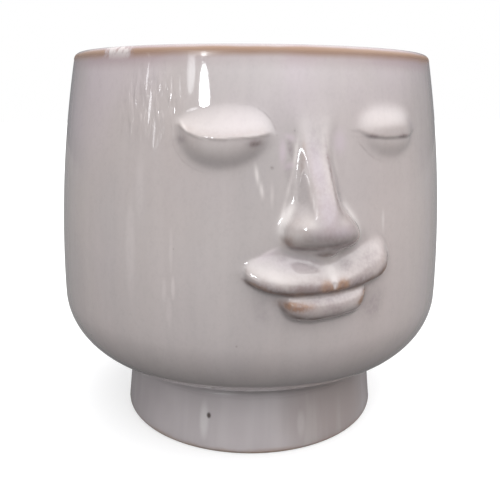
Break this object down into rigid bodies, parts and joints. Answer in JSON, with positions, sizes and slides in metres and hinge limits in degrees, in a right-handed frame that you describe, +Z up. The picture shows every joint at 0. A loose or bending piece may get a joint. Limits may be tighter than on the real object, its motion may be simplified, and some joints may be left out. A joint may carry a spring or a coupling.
{
  "type": "head planter",
  "caption": "Round glazed stoneware plant pot on a flared foot, with a sleeping face in relief on its wall and a rubber stopper in its drain hole.",
  "frame": {"origin": "on the pot's axis, at the level of the table it stands on", "axes": "+Z up along the pot's axis, -Y the way the face looks, +X to the viewer's right of the face"},
  "size_m": [0.17, 0.1788, 0.16],
  "materials": {
    "glazed_body": "glossy reactive glaze",
    "glazed_foot": "glossy reactive glaze, bare clay under the standing edge",
    "glazed_relief": "glossy reactive glaze, brown where it runs thin",
    "stopper_rubber": "matt"
  },
  "bodies": {
    "pot": {"bowl": "glazed_body", "foot_ring": "glazed_foot", "left_eye": "glazed_relief", "right_eye": "glazed_relief", "left_eyelid": "glazed_relief", "right_eyelid": "glazed_relief", "nose": "glazed_relief", "upper_lip": "glazed_relief", "lower_lip": "glazed_relief"},
    "stopper": {"drain_stopper": "stopper_rubber"}
  },
  "joints": [
    {"name": "stopper_lift", "type": "slide", "parent": "pot", "child": "stopper", "axis": [0, 0, 1], "range_m": [0, 0.14]}
  ]
}
